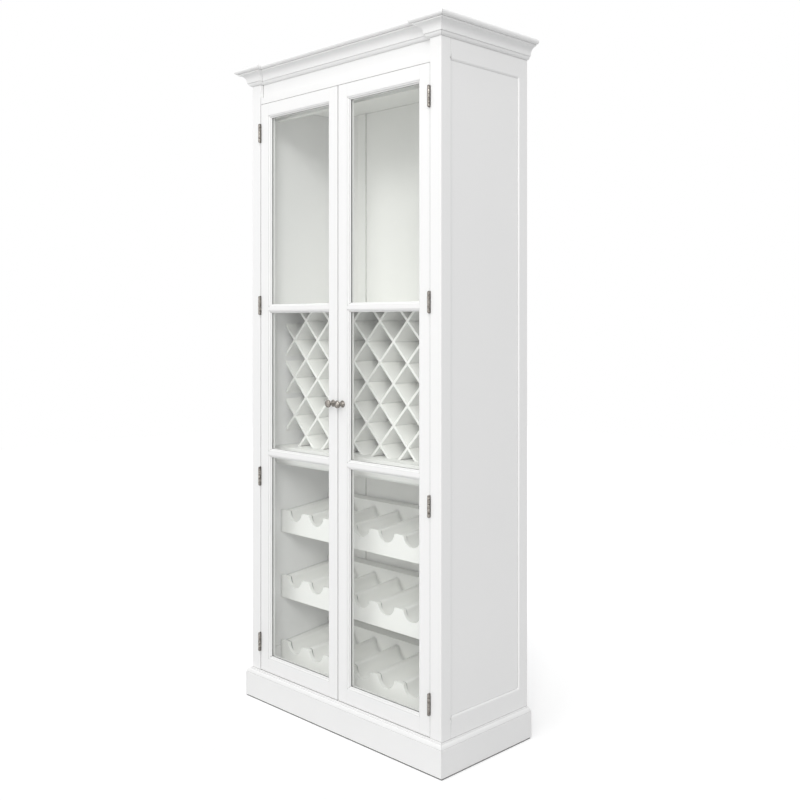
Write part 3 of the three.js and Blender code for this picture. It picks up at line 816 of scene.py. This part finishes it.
def add_racks():
    for level in RACK_LEVELS:
        node = f"bottle_rack_{level}"
        low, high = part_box(node)
        top = high.z - RACK_BLOCK_RISE
        board_back = low.y + RACK_FRONT_THICKNESS
        block_front = high.y - RACK_BLOCK_DEPTH
        trough_front = board_back + RACK_FRONT_GAP
        climb = TROUGH_CLIMB / (block_front - trough_front)
        rib_top = top - RIB_DROP
        base = rib_top - TROUGH_SIZE[1] - TROUGH_FLOOR
        scallops = scalloped_edge(low.x, high.x, top, SCALLOP_SIZE, SCALLOP_SHOULDER)
        troughs = scalloped_edge(low.x, high.x, rib_top, TROUGH_SIZE, RIB_SHOULDER)
        bm = bmesh.new()
        add_eased_board(
            bm, [(low.x, low.z), (high.x, low.z)] + scallops[::-1], low.y, board_back, RACK_ARRIS,
        )
        add_eased_board(
            bm, [(low.x, base), (high.x, base)] + troughs[::-1],
            trough_front, block_front + RACK_LAP, TROUGH_ARRIS, climb,
        )
        block = [(low.x, low.z), (high.x, low.z), (high.x, high.z), (low.x, high.z)]
        add_eased_board(bm, block, block_front, high.y, RACK_ARRIS)
        bmesh.ops.recalc_face_normals(bm, faces=bm.faces)
        piece = with_true_flats(object_from(bm, f"{node}_painted", RACK_PAINT))
        settle(piece, "inner_paint", "cabinet", node)


# Turned pieces

def turned(profile, segments):
    """A closed surface of revolution about +Z from (radius, height) points, axis to axis."""
    bm = bmesh.new()
    rings = []
    for radius, height in profile:
        if radius == 0:
            rings.append([bm.verts.new((0, 0, height))])
        else:
            rings.append([
                bm.verts.new((
                    radius * math.cos(math.tau * i / segments),
                    radius * math.sin(math.tau * i / segments),
                    height,
                ))
                for i in range(segments)
            ])
    for below, above in zip(rings, rings[1:]):
        for i in range(segments):
            j = (i + 1) % segments
            quad = [below[i % len(below)], below[j % len(below)],
                    above[j % len(above)], above[i % len(above)]]
            corners = list(dict.fromkeys(quad))
            if len(corners) > 2:
                bm.faces.new(corners)
    bmesh.ops.recalc_face_normals(bm, faces=bm.faces)
    return bm


def merge_in(bm, other, matrix):
    """Adds another bmesh, moved by a matrix, and frees it."""
    bmesh.ops.transform(other, matrix=matrix, verts=other.verts)
    mesh = bpy.data.meshes.new("joined")
    other.to_mesh(mesh)
    other.free()
    bm.from_mesh(mesh)
    bpy.data.meshes.remove(mesh)


KNOB_SEGMENTS = 48
KNOB_ROSE_RADIUS = 10.0 * MM
KNOB_ROSE_HEIGHT = 3.0 * MM
KNOB_ROSE_STEPS = ((1.0, 0.0), (1.0, 0.4), (0.95, 0.6), (0.82, 0.62), (0.74, 0.85), (0.6, 1.0))
KNOB_NECK_RADIUS = 4.4 * MM
KNOB_NECK_STEPS = ((1.0, 1.5), (0.93, 2.2))
KNOB_BALL_HALF = 8.0 * MM
KNOB_GROOVE = 0.45 * MM
KNOB_GROOVE_ANGLE = 0.07


def knob_profile(reach, ball_radius):
    """A stepped rose, a waisted neck and a flattened ball with a fine turned line."""
    ball = (0, reach - KNOB_BALL_HALF)
    radii = (ball_radius, KNOB_BALL_HALF)
    neck_turn = math.acos(KNOB_NECK_RADIUS / ball_radius)
    rose = [(0, 0)]
    rose += [(r * KNOB_ROSE_RADIUS, h * KNOB_ROSE_HEIGHT) for r, h in KNOB_ROSE_STEPS]
    neck = [(r * KNOB_NECK_RADIUS, h * KNOB_ROSE_HEIGHT) for r, h in KNOB_NECK_STEPS]
    back = arc(ball, radii, -neck_turn, -KNOB_GROOVE_ANGLE, 10)
    line = [(ball_radius - KNOB_GROOVE, ball[1])]
    front = arc(ball, radii, KNOB_GROOVE_ANGLE, math.pi / 2, 14)
    return rose + neck + back + line + front[:-1] + [(0, reach)]


def add_knobs():
    for side, _ in SIDES:
        node = f"door_{side}_knob"
        low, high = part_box(node)
        bm = turned(knob_profile(high.y - low.y, (high.x - low.x) / 2), KNOB_SEGMENTS)
        turn = Matrix.Rotation(math.pi / 2, 4, "X")
        place = Matrix.Translation(((low.x + high.x) / 2, high.y, (low.z + high.z) / 2))
        bmesh.ops.transform(bm, matrix=place @ turn, verts=bm.verts)
        piece = object_from(bm, f"{node}_turned", PEWTER)
        settle(piece, "aged_pewter", f"door_{side}", node)


# Hinges: odd knuckles belong to the leaf on the post, even ones to the leaf on the door
HINGES_A_DOOR = 4
KNUCKLES = 5
KNUCKLE_RADIUS = 4.0 * MM
KNUCKLE_EASE = 0.6 * MM
KNUCKLE_GAP = 0.4 * MM
TIP_HEIGHT = 2.4 * MM
TIP_DOME_HEIGHT = 1.8 * MM
TIP_RADIUS = 3.1 * MM
TIP_NECK_RADIUS = 2.3 * MM
LEAF_FACE_GAP = 1.5 * MM
LEAF_THICKNESS = 1.5 * MM
LEAF_CORNER = 2.0 * MM
SCREW_PROUD = 0.25 * MM
SCREW_RADIUS = 2.9 * MM
SCREW_SLOT = 0.8 * MM
SCREW_SEAT = 0.1
SCREW_TOP = 0.95
SCREW_TAPER = 0.86
SCREW_SEGMENTS = 20
SCREW_SHARES = (0.17, 0.5, 0.83)
SCREW_DEPTH_SHARE = 0.55
SCREW_SPIN_SEED = 7
HINGE_SEGMENTS = 32


def knuckle_profile(bottom, top, tipped_below, tipped_above):
    """One knuckle's outline, with a small turned tip on a free end."""
    low = bottom + (TIP_HEIGHT if tipped_below else 0)
    high = top - (TIP_HEIGHT if tipped_above else 0)
    ease = KNUCKLE_EASE
    points = [
        (KNUCKLE_RADIUS - ease, low), (KNUCKLE_RADIUS, low + ease),
        (KNUCKLE_RADIUS, high - ease), (KNUCKLE_RADIUS - ease, high),
    ]
    dome = (TIP_RADIUS, TIP_DOME_HEIGHT)
    quarter = math.pi / 2
    if tipped_below:
        below = arc((0, bottom + dome[1]), dome, -quarter, 0, 6)
        points = [(0, bottom)] + below[1:] + [(TIP_NECK_RADIUS, low)] + points
    else:
        points = [(0, low)] + points
    if tipped_above:
        above = arc((0, top - dome[1]), dome, 0, quarter, 6)
        points = points + [(TIP_NECK_RADIUS, high)] + above[:-1] + [(0, top)]
    else:
        points = points + [(0, high)]
    return points


def leaf_outline(axis_y, front, back, low, high, own):
    """(y, z) points of a leaf: rounded corners at the back, a tongue to each own knuckle."""
    quarter = math.pi / 2
    corner = LEAF_CORNER
    radii = (corner, corner)
    rear = arc((back - corner, low + corner), radii, -quarter, 0, 4)
    rear += arc((back - corner, high - corner), radii, 0, quarter, 4)
    tongues = []
    step = (high - low) / KNUCKLES
    for i in reversed(range(KNUCKLES)):
        top = low + (i + 1) * step - (KNUCKLE_GAP / 2 if i < KNUCKLES - 1 else TIP_HEIGHT)
        bottom = low + i * step + (KNUCKLE_GAP / 2 if i else TIP_HEIGHT)
        if i % 2 == own:
            tongues += [(front, top), (axis_y, top), (axis_y, bottom), (front, bottom)]
    return rear + [(front, high)] + tongues + [(front, low)]


def add_leaf(bm, outline, face, back):
    """A flat plate whose (y, z) outline runs from |X| face to |X| back."""
    near, far = [[bm.verts.new((x, y, z)) for y, z in outline] for x in (face, back)]
    bm.faces.new(near)
    bm.faces.new(far[::-1])
    for i in range(len(outline)):
        j = (i + 1) % len(outline)
        bm.faces.new((near[j], near[i], far[i], far[j]))


def add_hinge_leaf(side, sign, number, kind):
    own = 1 if kind == "door" else 0
    joint = next(entry for entry in frame["joints"] if entry["child"] == f"door_{side}")
    axis_x, axis_y = joint["pos_m"][0], joint["pos_m"][1]
    node = f"hinge_{side}_{number}_{kind}_leaf"
    leaf_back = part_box(node)[1].y
    outwards = -sign if own else sign
    face = axis_x + outwards * (LEAF_FACE_GAP / 2 + SCREW_PROUD)
    back = axis_x + outwards * (LEAF_FACE_GAP / 2 + LEAF_THICKNESS)
    stile = f"door_{side}_hinge_stile" if own else f"corner_post_{side}"
    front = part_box(stile)[0].y
    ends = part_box(f"hinge_{side}_{number}_post_leaf")
    bottom, top = ends[0].z, ends[1].z
    step = (top - bottom) / KNUCKLES

    bm = bmesh.new()
    add_leaf(bm, leaf_outline(axis_y, front, leaf_back, bottom, top, own), face, back)
    bmesh.ops.recalc_face_normals(bm, faces=bm.faces)
    for i in range(own, KNUCKLES, 2):
        start = bottom + i * step + (KNUCKLE_GAP / 2 if i else 0)
        end = bottom + (i + 1) * step - (KNUCKLE_GAP / 2 if i < KNUCKLES - 1 else 0)
        knuckle = turned(
            knuckle_profile(start, end, i == 0, i == KNUCKLES - 1), HINGE_SEGMENTS,
        )
        merge_in(bm, knuckle, Matrix.Translation((axis_x, axis_y, 0)))
    body = f"door_{side}" if own else "cabinet"
    piece = object_from(bm, f"{node}_worn", PEWTER)
    settle(piece, "aged_pewter", body, node)
    screw_y = front + SCREW_DEPTH_SHARE * (leaf_back - front)
    return body, [
        ((face, screw_y, bottom + share * (top - bottom)), (-outwards, 0.0, 0.0))
        for share in SCREW_SHARES
    ]


def screw_head():
    """A low head with one straight slot, its seat at the origin and its top along +Z."""
    half_slot = SCREW_SLOT / 2
    opening = math.asin(half_slot / SCREW_RADIUS)
    bm = bmesh.new()
    seat_top = SCREW_SEAT * SCREW_PROUD
    seat_outline = [
        (0, -SCREW_PROUD), (SCREW_RADIUS, -SCREW_PROUD), (SCREW_RADIUS, seat_top), (0, seat_top),
    ]
    merge_in(bm, turned(seat_outline, SCREW_SEGMENTS), Matrix.Identity(4))
    radii = (SCREW_RADIUS, SCREW_RADIUS)
    rim = arc((0, 0), radii, opening, math.pi - opening, SCREW_SEGMENTS // 2)
    dome = [(SCREW_TAPER * x, half_slot + SCREW_TAPER * (y - half_slot)) for x, y in rim]
    for turn in (0, math.pi):
        low = [bm.verts.new((x, y, 0)) for x, y in rim]
        high = [bm.verts.new((x, y, SCREW_TOP * SCREW_PROUD)) for x, y in dome]
        bm.faces.new(low[::-1])
        bm.faces.new(high)
        for i in range(len(rim)):
            j = (i + 1) % len(rim)
            bm.faces.new((low[i], low[j], high[j], high[i]))
        if turn:
            half_turn = Matrix.Rotation(turn, 3, "Z")
            bmesh.ops.rotate(bm, cent=(0, 0, 0), matrix=half_turn, verts=low + high)
    bmesh.ops.recalc_face_normals(bm, faces=bm.faces)
    return object_from(bm, "screw_head", DARK_METAL)


def add_hinges():
    screws = {}
    for side, sign in SIDES:
        for number in range(1, HINGES_A_DOOR + 1):
            for kind in ("post", "door"):
                body, seats = add_hinge_leaf(side, sign, number, kind)
                screws.setdefault(body, []).extend(seats)
    pattern = screw_head()
    for body, seats in screws.items():
        places, facing = zip(*seats)
        values = {"Pattern": pattern, "Scale": 1.0, "Spin Seed": SCREW_SPIN_SEED}
        piece = grown(
            f"hinge_screws_{body}", places, [], COPIES_TREE, values, DARK_METAL, facing,
        )
        settle(piece, "aged_pewter", body)
    bpy.data.objects.remove(pattern)


def add_catch():
    eased_copy("double_magnetic_catch", "eased", DARK_METAL, "aged_pewter", MOULDING_ARRIS)


# Camera, lights and white room
AMBIENT = 0.6
AMBIENT_COLOUR = (0.985, 0.99, 1.0, 1.0)
BACKDROP_COLOUR = (1.0, 1.0, 1.0, 1.0)
LAMP_AIM = (0.0, 0.0, 0.95)
LAMPS = {
    "key_light": {
        "place": (5.6, -6.4, 5.2), "size": 2.6, "power": 284.0, "tint": (1.0, 0.99, 0.98),
    },
    "broad_front_light": {
        "place": (0.0, -6.9, 1.9), "size": 6.0, "power": 94.0, "tint": (1.0, 0.99, 0.985),
    },
    "overhead_light": {
        "place": (0.5, -2.4, 5.4), "size": 3.0, "power": 55.0, "tint": (1.0, 1.0, 1.0),
    },
}

# White floor: it glows far from the cabinet and less near it, so that the shadow shows
FLOOR_SIZE = 14.0
FLOOR_GLOW_CENTRE = (0.5, -1.2, 0.0)
FLOOR_GLOW_NEAR = 0.22
FLOOR_GLOW_FAR = 0.53
FLOOR_NEAR = 1.0
FLOOR_FAR = 2.7
FLOOR_COLOUR = (0.62, 0.62, 0.62, 1.0)
SHOWN_FLOOR_COLOUR = (0.85, 0.85, 0.85, 1.0)
# Painted shade: the floor under the plinth is darker than the rest, so that the line at the plinth's foot reads
# dark
UNDER_PLINTH_SHADE_COLOUR = (0.3, 0.3, 0.3, 1.0)
COVERED_FLOOR_ROUGHNESS = 0.9
COVERED_FLOOR_INSET = 1.0 * MM


def add_camera():
    data = bpy.data.cameras.new("photograph_view")
    data.sensor_width = SENSOR
    data.lens = LENS
    data.shift_y = VIEW_SHIFT
    camera = bpy.data.objects.new("photograph_view", data)
    camera.location = CAMERA_PLACE
    camera.rotation_euler = (math.pi / 2, 0.0, CAMERA_AZIMUTH)
    bpy.context.scene.collection.objects.link(camera)
    bpy.context.scene.camera = camera


def add_lamps():
    for name, lamp_plan in LAMPS.items():
        data = bpy.data.lights.new(name, "AREA")
        data.shape = "SQUARE"
        data.size = lamp_plan["size"]
        data.energy = lamp_plan["power"]
        data.color = lamp_plan["tint"]
        lamp = bpy.data.objects.new(name, data)
        lamp.location = lamp_plan["place"]
        aim = Vector(LAMP_AIM) - Vector(lamp_plan["place"])
        lamp.rotation_euler = aim.to_track_quat("-Z", "Y").to_euler()
        bpy.context.scene.collection.objects.link(lamp)


def add_white_room():
    world = bpy.data.worlds.new("white_room")
    world.use_nodes = True
    bpy.context.scene.world = world
    tree = world.node_tree
    tree.nodes.clear()
    seen = add_node(tree, "ShaderNodeBackground", {"Color": BACKDROP_COLOUR, "Strength": 1.0})
    lit = add_node(
        tree, "ShaderNodeBackground", {"Color": AMBIENT_COLOUR, "Strength": AMBIENT},
    )
    path = add_node(tree, "ShaderNodeLightPath")
    direct = maths(tree, "MAXIMUM", path.outputs["Is Camera Ray"], path.outputs["Is Glossy Ray"])
    direct = maths(tree, "MAXIMUM", direct, path.outputs["Is Transmission Ray"])
    mix = add_node(tree, "ShaderNodeMixShader")
    output = add_node(tree, "ShaderNodeOutputWorld")
    link(tree, direct, mix.inputs["Fac"])
    link(tree, lit.outputs["Background"], mix.inputs[1])
    link(tree, seen.outputs["Background"], mix.inputs[2])
    link(tree, mix.outputs["Shader"], output.inputs["Surface"])


def floor_mesh():
    """A square floor whose part under the plinth is a face with a material of its own, for painted shade."""
    boxes = [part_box(f"plinth_{name}") for name in ("front", "left", "right")]
    low = [min(box[0][axis] for box in boxes) + COVERED_FLOOR_INSET for axis in (0, 1)]
    high = [max(box[1][axis] for box in boxes) - COVERED_FLOOR_INSET for axis in (0, 1)]
    half = FLOOR_SIZE / 2
    bm = bmesh.new()
    outer, inner = [
        [bm.verts.new((x, y, 0)) for x, y in ((x0, y0), (x1, y0), (x1, y1), (x0, y1))]
        for x0, y0, x1, y1 in ((-half, -half, half, half), (*low, *high))
    ]
    for i in range(4):
        j = (i + 1) % 4
        bm.faces.new((outer[i], outer[j], inner[j], inner[i]))
    bm.faces.new(inner)
    mesh = bpy.data.meshes.new("white_floor")
    bm.to_mesh(mesh)
    bm.free()
    return mesh


def covered_floor_material():
    material = bpy.data.materials.new("covered_floor")
    material.use_nodes = True
    shader = material.node_tree.nodes["Principled BSDF"]
    shader.inputs["Base Color"].default_value = UNDER_PLINTH_SHADE_COLOUR
    shader.inputs["Roughness"].default_value = COVERED_FLOOR_ROUGHNESS
    return material


def add_floor():
    """A white floor that shows only the cabinet's soft shadow, and painted shade under the plinth."""
    material = bpy.data.materials.new("white_floor")
    material.use_nodes = True
    tree = material.node_tree
    tree.nodes.clear()
    lighting = add_node(tree, "ShaderNodeBsdfDiffuse", {"Color": FLOOR_COLOUR})
    seen = add_node(tree, "ShaderNodeBsdfDiffuse", {"Color": SHOWN_FLOOR_COLOUR})
    matt = add_node(tree, "ShaderNodeMixShader")
    path = add_node(tree, "ShaderNodeLightPath")
    shown = maths(tree, "MAXIMUM", path.outputs["Is Camera Ray"], path.outputs["Is Glossy Ray"])
    shown = maths(tree, "MAXIMUM", shown, path.outputs["Is Transmission Ray"])
    place = add_node(tree, "ShaderNodeTexCoord")
    distance = add_node(
        tree, "ShaderNodeVectorMath", {1: FLOOR_GLOW_CENTRE}, operation="DISTANCE",
    )
    link(tree, place.outputs["Object"], distance.inputs[0])
    level = add_node(
        tree, "ShaderNodeMapRange",
        {
            "From Min": FLOOR_NEAR, "From Max": FLOOR_FAR,
            "To Min": FLOOR_GLOW_NEAR, "To Max": FLOOR_GLOW_FAR,
        },
    )
    link(tree, distance.outputs["Value"], level.inputs["Value"])
    glow = add_node(tree, "ShaderNodeEmission")
    link(tree, maths(tree, "MULTIPLY", shown, level.outputs["Result"]), glow.inputs["Strength"])
    link(tree, shown, matt.inputs["Fac"])
    link(tree, lighting.outputs["BSDF"], matt.inputs[1])
    link(tree, seen.outputs["BSDF"], matt.inputs[2])
    both = add_node(tree, "ShaderNodeAddShader")
    output = add_node(tree, "ShaderNodeOutputMaterial")
    link(tree, matt.outputs["Shader"], both.inputs[0])
    link(tree, glow.outputs["Emission"], both.inputs[1])
    link(tree, both.outputs["Shader"], output.inputs["Surface"])
    floor = new_object("white_floor", floor_mesh(), material)
    # Painted shade: the face under the plinth gets the darker floor material
    floor.data.materials.append(covered_floor_material())
    floor.data.polygons[-1].material_index = 1


bpy.context.scene.view_settings.view_transform = "Standard"
add_camera()
add_lamps()
add_white_room()
add_floor()
add_painted_boards()
add_panes()
add_back_panel()
add_lattice()
add_racks()
add_knobs()
add_hinges()
add_catch()
